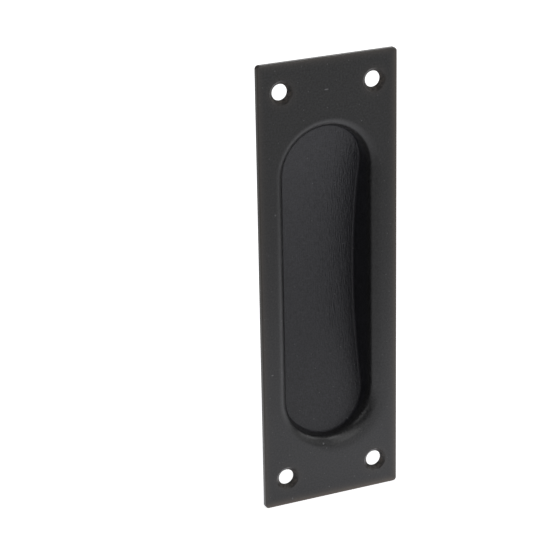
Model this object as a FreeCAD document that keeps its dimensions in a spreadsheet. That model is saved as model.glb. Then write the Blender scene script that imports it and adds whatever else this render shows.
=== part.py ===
import FreeCAD, Part
import math
import os
import Sketcher

# A flush pull for a pocket door: a flat plate with a long finger recess and four countersunk holes,
# cast in one piece. The plate stands upright with its front facing -Y, its height along Z and its
# width along X. The origin is the centre of the hole pattern, on the back face that seats on the door.

NODE = "flush_pull"

SIZES = [
    # name, millimetres or degrees, meaning
    ("plate_width", 40.0, "plate, side to side"),
    ("plate_height", 125.0, "plate, top to bottom"),
    ("plate_thickness", 1.5, "plate, front to back"),
    ("corner_radius", 1.0, "the four corners of the plate"),
    ("edge_radius", 0.4, "round along the front edge of the plate"),
    ("recess_width", 25.3, "recess at the front face, before its lip is rounded"),
    ("recess_height", 88.3, "recess, top to bottom, measured in the same place"),
    ("recess_drop", 0.7, "centre of the recess, below the centre of the plate"),
    ("recess_depth", 10.7, "front face to the floor, at mid height"),
    ("end_depth", 3.5, "front face to the floor, at the top and bottom ends"),
    ("wall_draft", 3.0, "slope of the recess wall, degrees"),
    ("lip_radius", 2.8, "rolled lip round the recess"),
    ("floor_radius", 0.5, "fillet between the floor and the wall"),
    ("shell_wall", 1.5, "metal behind the wall and the floor"),
    ("root_radius", 1.3, "round between the back of the plate and the cup"),
    ("back_radius", 1.0, "round along the back edge of the cup"),
    ("hole_inset_x", 6.7, "centre of a screw hole, in from the side of the plate"),
    ("hole_inset_z", 7.9, "centre of a screw hole, in from the top or bottom of the plate"),
    ("hole_diameter", 4.4, "screw hole, clear for a 3.5 mm screw"),
    ("sink_diameter", 6.6, "countersink at the front face"),
    ("sink_angle", 90.0, "countersink, degrees"),
]

# What follows from the driving sizes. Y is measured from the seating face, and the floor of the
# recess is part of a cylinder that lies across the pull, deepest at mid height.
FLOOR_Y = "(Sizes.recess_depth - Sizes.plate_thickness)"
FLOOR_RISE = "(Sizes.recess_depth - Sizes.end_depth)"
FLOOR_ARC = f"((Sizes.recess_height / 2) ^ 2 / (2 * {FLOOR_RISE}) + {FLOOR_RISE} / 2)"
CUP_ADDED = "2 * (Sizes.shell_wall / cos(Sizes.wall_draft) - Sizes.plate_thickness * tan(Sizes.wall_draft))"
LIP_ROUND = "min(Sizes.lip_radius; Sizes.end_depth - Sizes.floor_radius)"
HOLES_ACROSS = "(Sizes.plate_width - 2 * Sizes.hole_inset_x)"
HOLES_UP = "(Sizes.plate_height - 2 * Sizes.hole_inset_z)"

# How far a wall or a cut is drawn past what it meets.
PAST_FLOOR = "2 * Sizes.recess_depth"
PAST_ENDS = "(Sizes.recess_height + 4 * Sizes.shell_wall)"

# Points of a sketch element, and the sketch's own origin and upright axis.
START, END, CENTRE = 1, 2, 3
ORIGIN = (-1, 1)
UPRIGHT = -2

SKETCH_NORMAL = FreeCAD.Vector(0, 0, 1)
NEAR = 1e-4


def make_sheet(doc):
    """Spreadsheet of the driving sizes: a name, its value and its meaning on each row."""
    sheet = doc.addObject("Spreadsheet::Sheet", "Sizes")
    for row, (name, value, meaning) in enumerate(SIZES, start=1):
        sheet.set(f"A{row}", name)
        sheet.set(f"B{row}", str(value))
        sheet.set(f"C{row}", meaning)
        sheet.setAlias(f"B{row}", name)
    doc.recompute()


def new_body(doc, label):
    body = doc.addObject("PartDesign::Body", label)
    body.Label = label
    body.Placement = FreeCAD.Placement()
    return body


def new_sketch(body, name, role, forward=None):
    """Sketch on one of the body's own origin planes, moved along its normal by an expression."""
    sketch = body.newObject("Sketcher::SketchObject", name)
    plane = next(f for f in body.Origin.OriginFeatures if f.Role == role)
    sketch.AttachmentSupport = [(plane, "")]
    sketch.MapMode = "FlatFace"
    if forward:
        sketch.setExpression("AttachmentOffset.Base.z", forward)
    return sketch


def number(thing, expression):
    """Value that an expression has now."""
    return float(thing.evalExpression(expression))


def tie(sketch, name, expression, *constraint):
    """Driving constraint with a name, bound to the sheet."""
    value = number(sketch, expression)
    index = sketch.addConstraint(Sketcher.Constraint(*constraint, value))
    sketch.renameConstraint(index, name)
    sketch.setExpression(f"Constraints.{name}", expression)


def hold(sketch, *constraint):
    """Geometric constraint, with no size."""
    sketch.addConstraint(Sketcher.Constraint(*constraint))


def line(sketch, first, second):
    return sketch.addGeometry(Part.LineSegment(FreeCAD.Vector(*first), FreeCAD.Vector(*second)))


def arc(sketch, centre, radius, start, end):
    """Arc drawn anticlockwise between two angles in degrees."""
    circle = Part.Circle(FreeCAD.Vector(*centre), SKETCH_NORMAL, radius)
    return sketch.addGeometry(Part.ArcOfCircle(circle, math.radians(start), math.radians(end)))


def chain(sketch, kind, loop):
    """Join each element of a closed loop to the next, end to start."""
    for first, second in zip(loop, loop[1:] + loop[:1]):
        hold(sketch, kind, first, END, second, START)


def draw_plate(sketch):
    """Rectangle with round corners, centred on the origin."""
    x = number(sketch, "Sizes.plate_width / 2")
    y = number(sketch, "Sizes.plate_height / 2")
    r = number(sketch, "Sizes.corner_radius")
    loop = [
        line(sketch, (x, r - y), (x, y - r)),
        arc(sketch, (x - r, y - r), r, 0, 90),
        line(sketch, (x - r, y), (r - x, y)),
        arc(sketch, (r - x, y - r), r, 90, 180),
        line(sketch, (-x, y - r), (-x, r - y)),
        arc(sketch, (r - x, r - y), r, 180, 270),
        line(sketch, (r - x, -y), (x - r, -y)),
        arc(sketch, (x - r, r - y), r, 270, 360),
    ]
    right, top_right, top, top_left, left, bottom_left, bottom, bottom_right = loop
    chain(sketch, "Tangent", loop)
    hold(sketch, "Vertical", right)
    hold(sketch, "Horizontal", top)
    hold(sketch, "Vertical", left)
    hold(sketch, "Horizontal", bottom)
    for corner in (top_left, bottom_left, bottom_right):
        hold(sketch, "Equal", top_right, corner)
    hold(sketch, "Symmetric", top_right, CENTRE, bottom_left, CENTRE, *ORIGIN)
    tie(sketch, "corner", "Sizes.corner_radius", "Radius", top_right)
    tie(sketch, "width", "Sizes.plate_width", "DistanceX", left, START, right, START)
    tie(sketch, "height", "Sizes.plate_height", "DistanceY", bottom, START, top, START)


def draw_slot(sketch, width, height):
    """Upright slot with round ends, centred on the recess."""
    r = number(sketch, f"({width}) / 2")
    up = number(sketch, f"(({height}) - ({width})) / 2 - Sizes.recess_drop")
    down = number(sketch, f"(({width}) - ({height})) / 2 - Sizes.recess_drop")
    loop = [
        arc(sketch, (0, up), r, 0, 180),
        line(sketch, (-r, up), (-r, down)),
        arc(sketch, (0, down), r, 180, 360),
        line(sketch, (r, down), (r, up)),
    ]
    top, left, bottom, right = loop
    chain(sketch, "Tangent", loop)
    hold(sketch, "Vertical", left)
    hold(sketch, "Equal", top, bottom)
    hold(sketch, "PointOnObject", top, CENTRE, UPRIGHT)
    tie(sketch, "width", width, "Diameter", top)
    tie(sketch, "centres", f"({height}) - ({width})", "DistanceY", bottom, CENTRE, top, CENTRE)
    tie(sketch, "rise", f"(({height}) - ({width})) / 2 - Sizes.recess_drop",
        "DistanceY", *ORIGIN, top, CENTRE)


def draw_behind_floor(sketch, offset):
    """All that lies behind the curved floor, or behind a surface at an offset from the floor."""
    radius = number(sketch, f"{FLOOR_ARC} + {offset}")
    floor = number(sketch, f"{FLOOR_Y} + {offset}")
    middle = number(sketch, "-Sizes.recess_drop")
    half = number(sketch, f"{PAST_ENDS} / 2")
    far = number(sketch, f"{PAST_FLOOR} + Sizes.shell_wall")
    swing = math.degrees(math.asin(half / radius))
    edge = floor - radius * (1 - math.cos(math.radians(swing)))
    curve = arc(sketch, (floor - radius, middle), radius, -swing, swing)
    top = line(sketch, (edge, middle + half), (far, middle + half))
    back = line(sketch, (far, middle + half), (far, middle - half))
    bottom = line(sketch, (far, middle - half), (edge, middle - half))
    chain(sketch, "Coincident", [curve, top, back, bottom])
    hold(sketch, "Horizontal", top)
    hold(sketch, "Horizontal", bottom)
    hold(sketch, "Vertical", back)
    tie(sketch, "radius", f"{FLOOR_ARC} + {offset}", "Radius", curve)
    tie(sketch, "drop", "Sizes.recess_drop", "DistanceY", curve, CENTRE, *ORIGIN)
    tie(sketch, "height", PAST_ENDS, "DistanceY", bottom, END, top, START)
    tie(sketch, "top", f"{PAST_ENDS} / 2 - Sizes.recess_drop", "DistanceY", *ORIGIN, top, START)
    tie(sketch, "far", f"{PAST_FLOOR} + Sizes.shell_wall", "DistanceX", *ORIGIN, back, START)
    tie(sketch, "centre", f"{FLOOR_ARC} - {FLOOR_Y}", "DistanceX", curve, CENTRE, *ORIGIN)


def draw_hole_pattern(sketch):
    """Four circles at the corners of a rectangle centred on the origin."""
    x = number(sketch, f"{HOLES_ACROSS} / 2")
    y = number(sketch, f"{HOLES_UP} / 2")
    radius = number(sketch, "Sizes.hole_diameter / 2")
    places = [(x, y), (-x, y), (-x, -y), (x, -y)]
    holes = [sketch.addGeometry(Part.Circle(FreeCAD.Vector(*p), SKETCH_NORMAL, radius)) for p in places]
    top_right, top_left, bottom_left, bottom_right = holes
    for other in holes[1:]:
        hold(sketch, "Equal", top_right, other)
    hold(sketch, "Horizontal", top_right, CENTRE, top_left, CENTRE)
    hold(sketch, "Horizontal", bottom_right, CENTRE, bottom_left, CENTRE)
    hold(sketch, "Vertical", top_right, CENTRE, bottom_right, CENTRE)
    hold(sketch, "Vertical", top_left, CENTRE, bottom_left, CENTRE)
    hold(sketch, "Symmetric", top_right, CENTRE, bottom_left, CENTRE, *ORIGIN)
    tie(sketch, "hole", "Sizes.hole_diameter", "Diameter", top_right)
    tie(sketch, "across", HOLES_ACROSS, "DistanceX", top_left, CENTRE, top_right, CENTRE)
    tie(sketch, "up", HOLES_UP, "DistanceY", bottom_right, CENTRE, top_right, CENTRE)


def pad(body, name, sketch, length, backward=False, draft=None):
    """Pad along the sketch's normal, or backward, narrowing by a draft."""
    feature = body.newObject("PartDesign::Pad", name)
    feature.Profile = sketch
    feature.Reversed = backward
    feature.setExpression("Length", length)
    if draft:
        feature.setExpression("TaperAngle", f"-{draft}")
    body.Document.recompute()


def must_shrink(body, before, name):
    """A cut that points away from the metal removes nothing and shows no error."""
    if body.Shape.Volume >= before - NEAR:
        raise RuntimeError(f"{name} removed nothing")


def cut_across(body, name, sketch):
    """Cut through the whole width of the body, to both sides of the sketch."""
    before = body.Shape.Volume
    feature = body.newObject("PartDesign::Pocket", name)
    feature.Profile = sketch
    feature.SideType = "Symmetric"
    feature.Type = "ThroughAll"
    body.Document.recompute()
    must_shrink(body, before, name)


def cut_body(body, name, tool):
    """Cut the shape of another body out of this one."""
    before = body.Shape.Volume
    feature = body.newObject("PartDesign::Boolean", name)
    feature.Type = "Cut"
    feature.addObject(tool)
    body.Document.recompute()
    must_shrink(body, before, name)


def drill(body, name, sketch):
    """Countersunk holes right through the plate, one at each circle of the sketch."""
    before = body.Shape.Volume
    feature = body.newObject("PartDesign::Hole", name)
    feature.Profile = sketch
    body.Document.recompute()
    feature.DepthType = "ThroughAll"
    feature.HoleCutType = "Countersink"
    feature.HoleCutCustomValues = True
    feature.setExpression("Diameter", "Sizes.hole_diameter")
    feature.setExpression("HoleCutDiameter", "Sizes.sink_diameter")
    feature.setExpression("HoleCutCountersinkAngle", "Sizes.sink_angle")
    body.Document.recompute()
    must_shrink(body, before, name)


def fillet(body, name, edges, radius):
    base = body.Tip
    names = [f"Edge{i}" for i, edge in enumerate(base.Shape.Edges, start=1)
             if any(edge.isSame(wanted) for wanted in edges)]
    feature = body.newObject("PartDesign::Fillet", name)
    feature.Base = (base, names)
    feature.setExpression("Radius", radius)
    body.Document.recompute()


def flat_face(body, y):
    """The flat face square to Y at a given Y."""
    for face in body.Tip.Shape.Faces:
        box = face.BoundBox
        if abs(box.YMin - y) < NEAR and abs(box.YMax - y) < NEAR:
            return face
    raise RuntimeError(f"no flat face at Y = {y}")


def seat_face(body):
    return flat_face(body, 0)


def front_face(body):
    return flat_face(body, -number(body, "Sizes.plate_thickness"))


def curved_floor_edges(body):
    """Edges of the largest face that is part of a cylinder lying across the pull."""
    across = FreeCAD.Vector(1, 0, 0)
    floors = [f for f in body.Tip.Shape.Faces
              if isinstance(f.Surface, Part.Cylinder) and abs(f.Surface.Axis.dot(across)) > 1 - NEAR]
    return max(floors, key=lambda face: face.Area).Edges


def inner_edges(face):
    return [e for wire in face.Wires if not wire.isSame(face.OuterWire) for e in wire.Edges]


def make_recess(doc):
    """The hollow of the recess as a solid: a drafted slot that ends on the curved floor."""
    body = new_body(doc, "recess_hollow")
    mouth = new_sketch(body, "recess_mouth", "XZ_Plane", "Sizes.plate_thickness")
    draw_slot(mouth, "Sizes.recess_width", "Sizes.recess_height")
    pad(body, "recess_wall", mouth, PAST_FLOOR, backward=True, draft="Sizes.wall_draft")
    behind = new_sketch(body, "behind_floor", "YZ_Plane")
    draw_behind_floor(behind, "0")
    cut_across(body, "recess_floor", behind)
    fillet(body, "floor_fillet", curved_floor_edges(body), "Sizes.floor_radius")
    return body


def make_cup(body):
    """The metal behind the recess, as a solid block with the same draft and the same curve."""
    slot = new_sketch(body, "cup_outline", "XZ_Plane")
    draw_slot(slot, f"Sizes.recess_width + {CUP_ADDED}", f"Sizes.recess_height + {CUP_ADDED}")
    pad(body, "cup", slot, PAST_FLOOR, backward=True, draft="Sizes.wall_draft")
    behind = new_sketch(body, "behind_cup", "YZ_Plane")
    draw_behind_floor(behind, "Sizes.shell_wall")
    cut_across(body, "cup_back", behind)
    fillet(body, "cup_back_round", curved_floor_edges(body), "Sizes.back_radius")


def add_plate(body):
    """The plate in front of the cup, blended into it at the back by a round."""
    outline = new_sketch(body, "plate_outline", "XZ_Plane")
    draw_plate(outline)
    pad(body, "plate", outline, "Sizes.plate_thickness")
    fillet(body, "cup_root_round", inner_edges(seat_face(body)), "Sizes.root_radius")
    fillet(body, "plate_edge_round", front_face(body).OuterWire.Edges, "Sizes.edge_radius")


def make_pull(doc):
    body = new_body(doc, NODE)
    make_cup(body)
    add_plate(body)
    cut_body(body, "finger_recess", make_recess(doc))
    fillet(body, "lip_round", inner_edges(front_face(body)), LIP_ROUND)
    holes = new_sketch(body, "hole_pattern", "XZ_Plane", "Sizes.plate_thickness")
    draw_hole_pattern(holes)
    drill(body, "screw_holes", holes)
    return body


def check(doc, body):
    """Every object is computed, every sketch is fully held, and the pull is one valid solid."""
    for thing in doc.Objects:
        if "Invalid" in thing.State or "Error" in thing.State:
            raise RuntimeError(f"{thing.Name} failed: {thing.State}")
        if thing.isDerivedFrom("Sketcher::SketchObject") and not thing.FullyConstrained:
            raise RuntimeError(f"{thing.Name} is not fully constrained")
    shape = body.Shape
    if shape.isNull() or not shape.isValid() or len(shape.Solids) != 1:
        raise RuntimeError(f"{body.Label} is not one valid solid")


def export(body):
    os.makedirs("parts", exist_ok=True)
    body.Shape.exportStep(f"parts/{body.Label}.step")


doc = FreeCAD.newDocument("pocket_door_pull")
make_sheet(doc)
pull = make_pull(doc)
check(doc, pull)
export(pull)
box = pull.Shape.optimalBoundingBox(False)
print(f"{pull.Label}: {box.XLength:.2f} x {box.YLength:.2f} x {box.ZLength:.2f} mm, "
      f"{pull.Shape.Volume:.0f} mm3, {len(pull.Shape.Faces)} faces")
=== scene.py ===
# A pocket door pull in a satin black coat, standing on a pale studio floor.
import bmesh
import bpy
import math
from mathutils import Matrix, Vector


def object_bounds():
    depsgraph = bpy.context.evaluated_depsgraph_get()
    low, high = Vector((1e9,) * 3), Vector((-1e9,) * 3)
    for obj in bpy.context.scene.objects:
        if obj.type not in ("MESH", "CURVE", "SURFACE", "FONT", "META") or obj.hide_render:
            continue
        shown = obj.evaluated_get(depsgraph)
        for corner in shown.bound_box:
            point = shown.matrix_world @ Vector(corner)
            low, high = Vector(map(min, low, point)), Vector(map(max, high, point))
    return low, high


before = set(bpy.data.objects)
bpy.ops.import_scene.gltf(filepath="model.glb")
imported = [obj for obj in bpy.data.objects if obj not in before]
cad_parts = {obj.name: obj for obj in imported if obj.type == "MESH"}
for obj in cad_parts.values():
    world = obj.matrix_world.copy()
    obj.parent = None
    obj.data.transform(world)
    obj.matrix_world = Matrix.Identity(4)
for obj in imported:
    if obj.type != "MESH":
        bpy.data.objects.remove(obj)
cad_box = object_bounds()

MM = 0.001
PULL = "flush_pull"


def mm(*values):
    """Millimetres as metres."""
    return Vector(v * MM for v in values)


def linear(colour):
    """An sRGB hex colour, such as #1c1c1e, as linear red, green, blue and alpha."""
    parts = [int(colour[i:i + 2], 16) / 255 for i in (1, 3, 5)]
    return [c / 12.92 if c <= 0.04045 else ((c + 0.055) / 1.055) ** 2.4 for c in parts] + [1.0]


# Materials

def new_material(name):
    """A material with an empty node tree."""
    material = bpy.data.materials.new(name)
    material.use_nodes = True
    material.node_tree.nodes.clear()
    return material


def node(tree, kind, settings=None, **inputs):
    """Add a node with its settings. An input is a value, a socket, or a node for its first socket,
    and it is named by its socket, or as i0, i1 and so on by its place."""
    made = tree.nodes.new("ShaderNode" + kind)
    for name, value in (settings or {}).items():
        setattr(made, name, value)
    for name, value in inputs.items():
        key = int(name[1:]) if name[1:].isdigit() else name.replace("_", " ")
        socket = made.inputs[key]
        if isinstance(value, bpy.types.Node):
            value = value.outputs[0]
        if isinstance(value, bpy.types.NodeSocket):
            tree.links.new(value, socket)
        else:
            socket.default_value = value
    return made


# The coat's colours: on the plate, in the recess, thin on the edges with a painted highlight, dust,
# and thin in the countersinks.
PLATE_DARK, PLATE_PALE = "#141415", "#262627"
RECESS_DARK, RECESS_PALE = "#131317", "#25252a"
EDGE_FILM_AND_HIGHLIGHT = "#59514a"
DUST = "#5e5e60"
CONE_DARK, CONE_PALE = "#161412", "#3e3834"

# Roughness of the front, least and most, and of the recess's wall, its floor and the countersinks.
FRONT_SHEEN = (0.28, 0.34)
WALL_SHEEN, FLOOR_SHEEN, CONE_SHEEN = 0.8, 0.4, 0.5
# A typical index for the resin of a powder coat is 1.5, and the sheen of this one is a little less.
COAT_IOR = 1.45

# The pull's own sizes, in millimetres, that the coat's marks follow.
HALF_WIDTH, HALF_HEIGHT = 20.0, 62.5
FRONT, BACK = -1.5, 0.0
HOLE_X, HOLE_Z, HOLE_RIM = 13.3, 54.6, 3.3
RECESS_HALF_WIDTH, RECESS_STRAIGHT, RECESS_LOW = 12.65, 31.5, 0.7
# The coat is a little bluer in the recess, from between these depths on.
BEHIND = (1.44, 2.16)
# How far a face turns to the front, as its normal's Y, to be the floor or the floor's round edge.
FLOOR_TURN, EDGE_TURN = (-0.8, -0.97), (-0.1, -0.3)

# The real powder grain is about 0.1 mm. It is drawn at half a millimetre, the least that shows.
GRAIN, GRAIN_HIGH = 0.5, 0.02
# Nearly all of a noise lies between these values.
NOISE_SPAN = (0.3, 0.7)
# The sheen changes softly, over about a centimetre.
CLOUD = 9.0

# Drawn streaks on the floor of the recess. Real ones are about 0.1 mm wide, too fine to show, so
# they are drawn 0.33 mm wide. They fade downwards between two heights on the plate.
STREAK_WIDE, STREAK_LONG, STREAK_HIGH = 0.33, 2.6, 0.135
STREAK_FADE, STREAK_LEAST = (-32.0, -12.0), 0.3
# The floor and the dip round the recess are also more grainy than the plate.
FLOOR_GRAIN, DIP_GRAIN = 0.05, 0.035

# Dust specks: how far apart, how wide, and how strong.
SPECKS = [(10.5, 0.5, 1.0), (6.0, 0.4, 0.8)]
# The larger marks: right and up from the middle, width, height, and how strong.
MARKS = [(-0.5, 53.9, 1.1, 0.35, 0.8), (-2.4, -46.5, 0.5, 0.5, 1.0), (-12.0, -61.0, 0.35, 0.6, 1.0),
         (-17.3, -23.2, 0.6, 0.35, 0.9), (-15.6, 21.9, 0.5, 0.5, 0.6)]
# A mark fades out between these shares of its half size.
MARK_EDGE = (1.3, 0.7)

# The thin film and its painted highlight start this far in from the edges, and fall off as this
# power of the way.
RIM_WIDE, RIM_FALL = 4.2, 4.0
# The film and its painted highlight are strongest at the lower and right edges, and weaker at the other
# edges and round the screw holes.
LOW_SHARE, EDGE_SHARE, HOLE_SHARE = 1.15, 0.8, 0.6
# On the sides of the plate the film and its painted highlight are at most this strong, from
# between these depths on.
SIDE_MOST, SIDE_FADE = 0.3, (0.1, 0.4)

# The film in a countersink fades over this width at its rim, and is mottled in patches this wide.
CONE_FADE, MOTTLE = 0.5, 0.8
MOTTLE_SPAN = (0.35, 0.65)
# It stops this close to the back face.
CONE_BACK = 0.03

# The dip round the recess: how far it leans to the right and down, its least share, and how softly
# the two join. Then where it starts outside the recess, how wide and how deep it is.
DIP_RIGHT, DIP_LOW, DIP_LEAST, DIP_BLEND = 0.8, 0.85, 0.27, 0.3
DIP_FROM, DIP_WIDE, DIP_WIDE_LEAST, DIP_DEEP = 1.0, 5.0, 1.0, 0.75
# Its profile is a smooth step to this power. It fades out down the wall between these depths.
DIP_FALL = 2.0
DIP_FADE = (9.0, 1.0)


def object_mm(tree):
    """Object coordinates in millimetres."""
    place = node(tree, "TexCoord")
    return node(tree, "Mapping", Vector=place.outputs["Object"], Scale=(1000.0, 1000.0, 1000.0))


def recess_masks(tree, at):
    """Masks of the recess: all of it behind the lip, its floor, and the floor with its rounded edge."""
    spot = node(tree, "SeparateXYZ", i0=at)
    behind = node(tree, "MapRange", Value=spot.outputs["Y"], From_Min=BEHIND[0], From_Max=BEHIND[1])
    normal = node(tree, "NewGeometry").outputs["Normal"]
    facing = node(tree, "SeparateXYZ", i0=normal).outputs["Y"]
    forward = node(tree, "MapRange", Value=facing, From_Min=FLOOR_TURN[0], From_Max=FLOOR_TURN[1])
    turning = node(tree, "MapRange", Value=facing, From_Min=EDGE_TURN[0], From_Max=EDGE_TURN[1])
    floor = node(tree, "Math", {"operation": "MULTIPLY"}, i0=behind, i1=forward)
    bottom = node(tree, "Math", {"operation": "MULTIPLY"}, i0=behind, i1=turning)
    return behind, floor, bottom


def from_hole(tree, half):
    """Distance from the middle of the nearest screw hole, seen from the front."""
    flat = node(tree, "CombineXYZ", X=half.outputs["X"], Y=half.outputs["Z"])
    away = node(tree, "VectorMath", {"operation": "DISTANCE"}, i0=flat, i1=(HOLE_X, HOLE_Z, 0.0))
    return away.outputs["Value"]


def rim_film_and_highlight_mask(tree, at):
    """Rises to one at the plate's right and lower edges, and less at the other two, round the screw
    holes and on the plate's sides: the film there is thin, and a highlight from the white ground is
    painted in."""
    spot = node(tree, "SeparateXYZ", i0=at)
    half = node(tree, "SeparateXYZ", i0=node(tree, "VectorMath", {"operation": "ABSOLUTE"}, i0=at))
    right = node(tree, "Math", {"operation": "SUBTRACT"}, i0=HALF_WIDTH, i1=spot.outputs["X"])
    low = node(tree, "Math", {"operation": "ADD"}, i0=HALF_HEIGHT, i1=spot.outputs["Z"])
    side = node(tree, "Math", {"operation": "SUBTRACT"}, i0=HALF_WIDTH, i1=half.outputs["X"])
    end = node(tree, "Math", {"operation": "SUBTRACT"}, i0=HALF_HEIGHT, i1=half.outputs["Z"])
    hole = node(tree, "Math", {"operation": "SUBTRACT"}, i0=from_hole(tree, half), i1=HOLE_RIM)
    gaps = [(right, 1.0), (low, LOW_SHARE), (side, EDGE_SHARE), (end, EDGE_SHARE), (hole, HOLE_SHARE)]
    most = 0.0
    for gap, share in gaps:
        near = node(tree, "MapRange", Value=gap, From_Min=RIM_WIDE, From_Max=0.0, To_Max=share)
        most = node(tree, "Math", {"operation": "MAXIMUM"}, i0=most, i1=near)
    rim_film_and_highlight = node(tree, "Math", {"operation": "POWER"}, i0=most, i1=RIM_FALL)
    limit = node(tree, "MapRange", Value=spot.outputs["Y"], From_Min=FRONT + SIDE_FADE[0],
                 From_Max=FRONT + SIDE_FADE[1], To_Min=1.0, To_Max=SIDE_MOST)
    return node(tree, "Math", {"operation": "MINIMUM"}, i0=rim_film_and_highlight, i1=limit)


def countersink_mask(tree, at):
    """One in the throats of the screw holes, and fading out towards the rims of their cones."""
    half = node(tree, "SeparateXYZ", i0=node(tree, "VectorMath", {"operation": "ABSOLUTE"}, i0=at))
    depth = node(tree, "SeparateXYZ", i0=at).outputs["Y"]
    inside = node(tree, "MapRange", Value=from_hole(tree, half), From_Min=HOLE_RIM,
                  From_Max=HOLE_RIM - CONE_FADE)
    ahead = node(tree, "MapRange", Value=depth, From_Min=BACK - CONE_BACK, From_Max=BACK - 2 * CONE_BACK)
    return node(tree, "Math", {"operation": "MULTIPLY"}, i0=inside, i1=ahead)


def dip_round_recess(tree, at):
    """Share of the soft dip round the recess, where the plate sinks towards it, most below it."""
    spot = node(tree, "SeparateXYZ", i0=at)
    up = node(tree, "Math", {"operation": "ADD"}, i0=spot.outputs["Z"], i1=RECESS_LOW)
    spine = node(tree, "Clamp", Value=up, Min=-RECESS_STRAIGHT, Max=RECESS_STRAIGHT)
    past = node(tree, "Math", {"operation": "SUBTRACT"}, i0=up, i1=spine)
    out = node(tree, "CombineXYZ", X=spot.outputs["X"], Y=past)
    away = node(tree, "VectorMath", {"operation": "LENGTH"}, i0=out).outputs["Value"]
    span = node(tree, "Math", {"operation": "MAXIMUM"}, i0=away, i1=RECESS_HALF_WIDTH)
    side = node(tree, "VectorMath", {"operation": "DOT_PRODUCT"}, i0=out, i1=(DIP_RIGHT, -DIP_LOW, 0.0))
    lean = node(tree, "Math", {"operation": "DIVIDE"}, i0=side.outputs["Value"], i1=span)
    share = node(tree, "Math", {"operation": "SMOOTH_MAX"}, i0=lean, i1=DIP_LEAST, i2=DIP_BLEND)
    start = RECESS_HALF_WIDTH + DIP_FROM
    reach = node(tree, "Math", {"operation": "MULTIPLY_ADD"}, i0=share, i1=DIP_WIDE,
                 i2=start + DIP_WIDE_LEAST)
    sunk = node(tree, "MapRange", {"interpolation_type": "SMOOTHSTEP"}, Value=away, From_Min=reach,
                From_Max=start)
    bowl = node(tree, "Math", {"operation": "POWER"}, i0=sunk, i1=DIP_FALL)
    deep = node(tree, "Math", {"operation": "MULTIPLY"}, i0=share, i1=bowl)
    front = node(tree, "MapRange", Value=spot.outputs["Y"], From_Min=DIP_FADE[0], From_Max=DIP_FADE[1])
    return node(tree, "Math", {"operation": "MULTIPLY"}, i0=deep, i1=front)


def dust_specks(tree, at):
    """Sparse specks of dust baked into the coat, each about half a millimetre, some fainter, and the
    larger marks. Nothing keeps them to the front, so they show on the back as well."""
    spot = node(tree, "SeparateXYZ", i0=at)
    front = node(tree, "CombineXYZ", X=spot.outputs["X"], Y=spot.outputs["Z"])
    most = 0.0
    for apart, wide, share in SPECKS:
        cells = node(tree, "TexVoronoi", {"voronoi_dimensions": "2D"}, Vector=front, Scale=1 / apart)
        dot = node(tree, "MapRange", Value=cells.outputs["Distance"], From_Min=wide / apart / 2,
                   From_Max=0.0, To_Max=share)
        chance = node(tree, "SeparateColor", i0=cells.outputs["Color"])
        speck = node(tree, "Math", {"operation": "MULTIPLY"}, i0=dot, i1=chance.outputs["Red"])
        most = node(tree, "Math", {"operation": "MAXIMUM"}, i0=most, i1=speck)
    for x, z, wide, high, share in MARKS:
        place = node(tree, "Mapping", Vector=front, Scale=(2 / wide, 2 / high, 1.0),
                     Location=(-2 * x / wide, -2 * z / high, 0.0))
        away = node(tree, "VectorMath", {"operation": "LENGTH"}, i0=place)
        mark = node(tree, "MapRange", Value=away.outputs["Value"], From_Min=MARK_EDGE[0],
                    From_Max=MARK_EDGE[1], To_Max=share)
        most = node(tree, "Math", {"operation": "MAXIMUM"}, i0=most, i1=mark)
    return most


def coat_relief(tree, at, grain, floor):
    """Height of the coat's own surface in millimetres: powder grain, drawn streaks and the dip."""
    dip = dip_round_recess(tree, at)
    drawn = node(tree, "Mapping", Vector=at, Scale=(1 / STREAK_WIDE, 0.0, 1 / STREAK_LONG))
    streak = node(tree, "TexNoise", Vector=drawn, Scale=1.0, Detail=1.0)
    depth = node(tree, "Math", {"operation": "MULTIPLY"}, i0=streak, i1=STREAK_HIGH)
    up = node(tree, "SeparateXYZ", i0=at).outputs["Z"]
    shown = node(tree, "MapRange", Value=up, From_Min=STREAK_FADE[0], From_Max=STREAK_FADE[1],
                 To_Min=STREAK_LEAST)
    on_floor = node(tree, "Math", {"operation": "MULTIPLY"}, i0=depth, i1=floor)
    lines = node(tree, "Math", {"operation": "MULTIPLY"}, i0=on_floor, i1=shown)
    plain = node(tree, "Math", {"operation": "MULTIPLY_ADD"}, i0=dip, i1=DIP_GRAIN, i2=GRAIN_HIGH)
    high = node(tree, "Math", {"operation": "MULTIPLY_ADD"}, i0=floor, i1=FLOOR_GRAIN, i2=plain)
    rough = node(tree, "Math", {"operation": "MULTIPLY_ADD"}, i0=grain, i1=high, i2=lines)
    return node(tree, "Math", {"operation": "MULTIPLY_ADD"}, i0=dip, i1=-DIP_DEEP, i2=rough)


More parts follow.
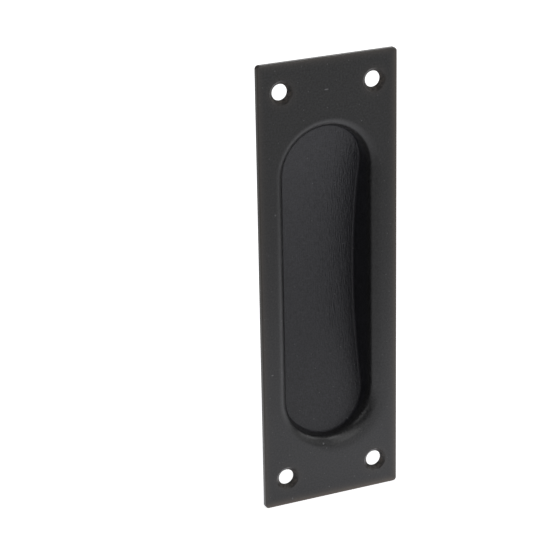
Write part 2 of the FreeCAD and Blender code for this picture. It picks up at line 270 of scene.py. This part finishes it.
def coat_colour(tree, at, grain, behind, sunk):
    """The film's colour: black with its grain, paler where it is thin and where a highlight on the edges
    is painted in, with dust, brown in the countersinks."""
    mix = {"data_type": "RGBA"}
    tone = node(tree, "MapRange", Value=grain, From_Min=NOISE_SPAN[0], From_Max=NOISE_SPAN[1])
    dark = node(tree, "Mix", mix, i0=behind, i6=linear(PLATE_DARK), i7=linear(RECESS_DARK)).outputs[2]
    pale = node(tree, "Mix", mix, i0=behind, i6=linear(PLATE_PALE), i7=linear(RECESS_PALE)).outputs[2]
    black = node(tree, "Mix", mix, i0=tone, i6=dark, i7=pale).outputs[2]
    # Paler on the edges, for the thin film and a painted highlight.
    thin = node(tree, "Mix", mix, i0=rim_film_and_highlight_mask(tree, at), i6=black, i7=linear(EDGE_FILM_AND_HIGHLIGHT)).outputs[2]
    dusty = node(tree, "Mix", mix, i0=dust_specks(tree, at), i6=thin, i7=linear(DUST)).outputs[2]
    patch = node(tree, "TexNoise", Vector=at, Scale=1 / MOTTLE, Detail=1.0)
    bare = node(tree, "MapRange", Value=patch, From_Min=MOTTLE_SPAN[0], From_Max=MOTTLE_SPAN[1])
    brown = node(tree, "Mix", mix, i0=bare, i6=linear(CONE_DARK), i7=linear(CONE_PALE)).outputs[2]
    return node(tree, "Mix", mix, i0=sunk, i6=dusty, i7=brown).outputs[2]


def satin_black_powder_coat():
    """Satin black powder coat, baked on a zinc casting: a dark film with a broad soft sheen, a fine
    even grain, a drawn grain that shows through on the floor of the recess, a thin brownish film on
    the edges and in the countersinks, with a painted highlight on the edges, and a few dust specks."""
    material = new_material("satin_black_powder_coat")
    tree = material.node_tree
    at = object_mm(tree)
    grain = node(tree, "TexNoise", Vector=at, Scale=1 / GRAIN, Detail=1.0)
    behind, floor, bottom = recess_masks(tree, at)
    sunk = countersink_mask(tree, at)
    tint = coat_colour(tree, at, grain, behind, sunk)

    cloud = node(tree, "TexNoise", Vector=at, Scale=1 / CLOUD, Detail=2.0)
    sheen = node(tree, "MapRange", Value=cloud, From_Min=NOISE_SPAN[0], From_Max=NOISE_SPAN[1],
                 To_Min=FRONT_SHEEN[0], To_Max=FRONT_SHEEN[1])
    inner = node(tree, "Mix", i0=floor, i2=WALL_SHEEN, i3=FLOOR_SHEEN)
    front = node(tree, "Mix", i0=bottom, i2=sheen, i3=inner)
    rough = node(tree, "Mix", i0=sunk, i2=front, i3=CONE_SHEEN)

    relief = node(tree, "Bump", Height=coat_relief(tree, at, grain, floor), Distance=MM)
    shader = node(tree, "BsdfPrincipled", Base_Color=tint, Roughness=rough, Normal=relief, IOR=COAT_IOR)
    node(tree, "OutputMaterial", Surface=shader)
    return material


PAPER, WHITE, COOL_WHITE = "#ededed", "#ffffff", "#f9f9ff"
# A pool of light painted on the floor, which only the coat's sheen shows: its middle and half size
# on the floor in metres, how many half sizes out it ends, and its strength in the middle and far off.
POOL_AT, POOL_SIZE = (0.05, -0.01), (0.14, 0.12)
POOL_EDGE = 1.75
POOL_WHITE, FAR_WHITE = 1.1, 0.18
# What is added for the camera near the pull, which rises to one between two distances in metres.
CAMERA_WHITE, CAMERA_FAR = 0.8, (0.4, 2.0)


def paper_with_painted_pool():
    """Matte white paper. The camera sees it white, with the shadow kept. A glowing pool of light is
    painted on it for the coat's sheen, white at the foot of the plate, dimmer further off, and a little
    cool."""
    material = new_material("paper_with_painted_pool")
    tree = material.node_tree
    path = node(tree, "LightPath")
    place = node(tree, "TexCoord").outputs["Object"]
    spread = node(tree, "Mapping", Vector=place, Scale=(1 / POOL_SIZE[0], 1 / POOL_SIZE[1], 0.0),
                  Location=(-POOL_AT[0] / POOL_SIZE[0], -POOL_AT[1] / POOL_SIZE[1], 0.0))
    away = node(tree, "VectorMath", {"operation": "LENGTH"}, i0=spread)
    pool = node(tree, "MapRange", {"interpolation_type": "SMOOTHSTEP"}, Value=away.outputs["Value"],
                From_Max=POOL_EDGE, To_Min=POOL_WHITE, To_Max=FAR_WHITE)
    mirror = node(tree, "Math", {"operation": "MAXIMUM"}, i0=path.outputs["Is Glossy Ray"],
                  i1=path.outputs["Is Transmission Ray"])
    shown = node(tree, "Math", {"operation": "MULTIPLY"}, i0=mirror, i1=pool)
    far = node(tree, "VectorMath", {"operation": "LENGTH"}, i0=place)
    white = node(tree, "MapRange", Value=far.outputs["Value"], From_Min=CAMERA_FAR[0],
                 From_Max=CAMERA_FAR[1], To_Min=CAMERA_WHITE, To_Max=1.0)
    glow = node(tree, "Math", {"operation": "MULTIPLY_ADD"}, i0=path.outputs["Is Camera Ray"],
                i1=white, i2=shown)
    # The painted pool shows a little cool in the coat's sheen.
    tint = node(tree, "Mix", {"data_type": "RGBA"}, i0=mirror, i6=linear(WHITE), i7=linear(COOL_WHITE))
    light = node(tree, "Emission", Color=tint.outputs[2], Strength=glow)
    paper = node(tree, "BsdfDiffuse", Color=linear(PAPER))
    both = node(tree, "AddShader", i0=paper, i1=light)
    node(tree, "OutputMaterial", Surface=both)
    return material


# The floor, the light and the camera

FLOOR_HALF = 4.0
PLATE_FOOT = cad_box[0].z


def add_floor():
    """A wide sheet of paper under the plate's lower edge."""
    form = bmesh.new()
    bmesh.ops.create_grid(form, x_segments=1, y_segments=1, size=FLOOR_HALF)
    bmesh.ops.translate(form, verts=form.verts, vec=(0, 0, PLATE_FOOT))
    mesh = bpy.data.meshes.new("studio_floor")
    form.to_mesh(mesh)
    form.free()
    mesh.materials.append(paper_with_painted_pool())
    floor = bpy.data.objects.new("studio_floor", mesh)
    bpy.context.scene.collection.objects.link(floor)


def softbox(name, turn, height, size, watts, away=1.0):
    """Soft lamp aimed at the object: degrees right of the front and up, width and height in metres."""
    side, up = math.radians(turn), math.radians(height)
    at = away * Vector((math.sin(side) * math.cos(up), -math.cos(side) * math.cos(up), math.sin(up)))
    lamp = bpy.data.lights.new(name, "AREA")
    lamp.shape = "RECTANGLE"
    lamp.size, lamp.size_y = size
    lamp.energy = watts
    box = bpy.data.objects.new(name, lamp)
    bpy.context.scene.collection.objects.link(box)
    box.location = at
    box.rotation_euler = (-at).to_track_quat("-Z", "Y").to_euler()


def add_lights():
    """Five boxes from the front round to the right side, a strip on the left, and two boxes behind."""
    softbox("front_box", 10, 25, (0.6, 0.6), 1.9)
    softbox("low_front_box", 12, 6, (0.3, 0.2), 0.45)
    softbox("right_box", 54, 12, (0.6, 0.6), 0.8)
    softbox("upper_right_box", 35, 50, (0.5, 0.3), 1.5)
    softbox("right_side_box", 85, 25, (0.5, 0.6), 1.8)
    softbox("left_strip", -60, 34, (0.25, 0.8), 0.95)
    softbox("back_right_box", 132, 20, (1.0, 0.5), 1.8)
    softbox("back_left_box", -115, 20, (0.5, 0.5), 1.2)


AMBIENT = 0.15


def add_world():
    """An even dim room, which the camera sees as white."""
    world = bpy.data.worlds.new("studio")
    world.use_nodes = True
    tree = world.node_tree
    tree.nodes.clear()
    path = node(tree, "LightPath")
    strength = node(tree, "MapRange", Value=path.outputs["Is Camera Ray"], To_Min=AMBIENT, To_Max=1.0)
    sky = node(tree, "Background", Color=linear(WHITE), Strength=strength)
    node(tree, "OutputWorld", Surface=sky)
    bpy.context.scene.world = world


# The photograph is 550 pixels wide, and the focal length is in the same pixels.
SENSOR = 36.0
FRAME = 550.0
FOCAL = 2224.3
NEAR = 0.01
YAW, PITCH, ROLL = 24.03, 21.08, 1.09
CAMERA_AT = mm(-238.1, -499.6, 215.6)


def add_camera():
    """The camera at the photograph's angle and distance."""
    data = bpy.data.cameras.new("camera")
    data.sensor_width = SENSOR
    data.lens = SENSOR * FOCAL / FRAME
    data.clip_start = NEAR
    camera = bpy.data.objects.new("camera", data)
    bpy.context.scene.collection.objects.link(camera)
    turn = Matrix.Rotation(math.radians(-YAW), 4, "Z")
    tilt = Matrix.Rotation(math.radians(90 - PITCH), 4, "X")
    roll = Matrix.Rotation(math.radians(-ROLL), 4, "Z")
    camera.matrix_world = Matrix.Translation(CAMERA_AT) @ turn @ tilt @ roll
    bpy.context.scene.camera = camera


coat = satin_black_powder_coat()
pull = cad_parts[PULL]
pull.data.materials.clear()
pull.data.materials.append(coat)

add_floor()
add_lights()
add_world()
add_camera()
bpy.context.scene.view_settings.view_transform = "Standard"
